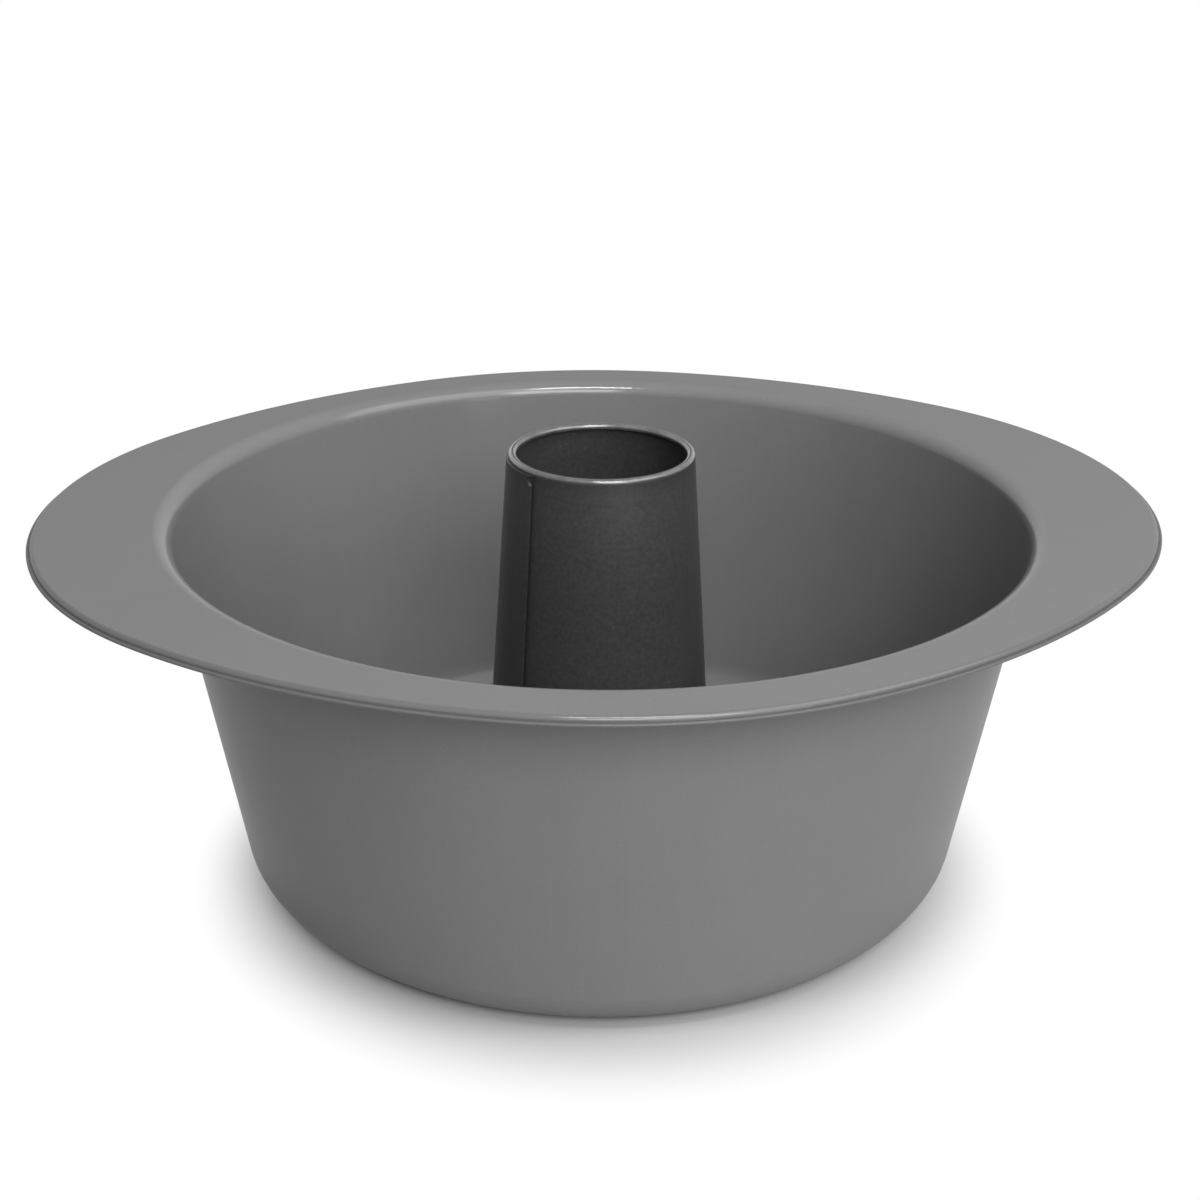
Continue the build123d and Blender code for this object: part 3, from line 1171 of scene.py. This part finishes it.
@dataclass
class Studio:
    """The plain pale floor, the soft lamps, the white surroundings and the camera."""

    floor_colour: Colour = (0.45, 0.45, 0.45)
    floor_reach: float = 6.0
    floor_sides: int = 96
    # painted shadow: the grey floor fades to white between these distances from this point, shifted
    # towards the front
    shadow_centre: tuple[float, float, float] = (-1.0 * MM, -12.0 * MM, 0.0)
    shadow_start: float = 84.0 * MM
    shadow_end: float = 118.0 * MM
    ambient: float = 0.11
    picture_pixels: float = 1200.0
    focal_pixels: float = 1800.0
    film_width: float = 36.0
    clip: tuple[float, float] = (0.01, 50.0)
    tilt: float = 0.4016
    distance: float = 507.1977 * MM
    aim_height: float = 73.1241 * MM
    aim_side: float = -0.2065 * MM
    turn: float = -0.156
    roll: float = 0.0065
    lamps: tuple[Softbox, ...] = (
        Softbox("overhead_strip", (0.0, -0.38, 0.84), 0.3, 0.05, 2.5),
        Softbox("front_softbox", (0.05, -0.78, 0.6), 0.5, 0.36, 5.2),
        Softbox("right_softbox", (0.58, -0.5, 0.85), 1.1, 0.8, 6.7),
        Softbox("low_softbox", (0.3, -1.0, 0.2), 0.6, 0.3, 2.4),
    )

    def outside_rays(self, g: Graph) -> Socket:
        """Returns 1 for the rays that show the surroundings: camera, glossy and transmission."""
        path = g.add("ShaderNodeLightPath").outputs
        seen = g.math("MAXIMUM", path["Is Camera Ray"], path["Is Glossy Ray"])
        return g.math("MAXIMUM", seen, path["Is Transmission Ray"])

    def floor(self) -> None:
        """Builds the floor: a grey matt floor near the pan that takes the lamps' shadow, fading to
        white round a point shifted towards the front, which paints part of the shadow's edge and
        its reach towards the camera.
        """
        mesh = bpy.data.meshes.new("studio_floor")
        turns = [math.tau * i / self.floor_sides for i in range(self.floor_sides)]
        rim = [(self.floor_reach * math.cos(a), self.floor_reach * math.sin(a), 0.0) for a in turns]
        mesh.from_pydata(rim, [], [list(range(self.floor_sides))])
        piece = added("studio_floor", mesh)
        made = bpy.data.materials.new("pale_floor")
        g = emptied(made)
        at = g.add("ShaderNodeTexCoord").outputs["Object"]
        # painted shadow: the fade from the grey floor to white is centred off the axis, towards the
        # front
        spots = {0: at, 1: self.shadow_centre}
        away = g.add("ShaderNodeVectorMath", spots, operation="DISTANCE").outputs["Value"]
        white_share = g.ramp(away, self.shadow_start, self.shadow_end)
        seen = g.times(self.outside_rays(g), white_share)
        matt = g.add("ShaderNodeBsdfDiffuse", {"Color": (*self.floor_colour, 1.0)}).outputs[0]
        white = g.add("ShaderNodeEmission").outputs[0]
        both = g.add("ShaderNodeMixShader", {0: seen, 1: matt, 2: white}).outputs[0]
        g.add("ShaderNodeOutputMaterial", {"Surface": both})
        mesh.materials.append(made)

    def world(self) -> None:
        """Sets the surroundings: white where they are seen, dim where they light."""
        made = bpy.data.worlds.new("white_surroundings")
        bpy.context.scene.world = made
        g = emptied(made)
        strength = g.plus(self.ambient, g.times(self.outside_rays(g), 1.0 - self.ambient))
        seen = {"Color": (1.0, 1.0, 1.0, 1.0), "Strength": strength}
        sky = g.add("ShaderNodeBackground", seen).outputs[0]
        g.add("ShaderNodeOutputWorld", {"Surface": sky})

    def camera(self) -> None:
        """Places the camera that was fitted to the pan's outline."""
        lens = bpy.data.cameras.new("front_camera")
        lens.sensor_width = self.film_width
        lens.lens = self.focal_pixels / self.picture_pixels * self.film_width
        lens.clip_start, lens.clip_end = self.clip
        holder = added("front_camera", lens)
        level = self.distance * math.cos(self.tilt)
        rise = self.distance * math.sin(self.tilt)
        away = Vector((level * math.sin(self.turn), -level * math.cos(self.turn), rise))
        ahead = -away.normalized()
        right = ahead.cross(Vector((0, 0, 1))).normalized()
        up = right.cross(ahead)
        side = right * math.cos(self.roll) + up * math.sin(self.roll)
        top = up * math.cos(self.roll) - right * math.sin(self.roll)
        pose = Matrix((side, top, -ahead)).transposed().to_4x4()
        pose.translation = Vector((self.aim_side, 0.0, self.aim_height)) + away
        holder.matrix_world = pose
        bpy.context.scene.camera = holder

    def build(self) -> None:
        """Builds the whole studio."""
        self.camera()
        self.floor()
        self.world()
        for lamp in self.lamps:
            lamp.hang()
        bpy.context.scene.view_settings.view_transform = "Standard"
        log.info("studio: %d lamps", len(self.lamps))


def main() -> None:
    """Builds the studio and the pan's three pieces."""
    logging.basicConfig(level=logging.INFO, format="%(message)s")
    Studio().build()
    loft, kit = SheetLoft(), EffectKit()
    coatings = {finish: finish.value.material(kit) for finish in Finish}
    for piece in (PanShell(), LooseFloor(), CenterTube()):
        piece.build(loft, coatings[piece.finish])


if __name__ == "__main__":
    main()
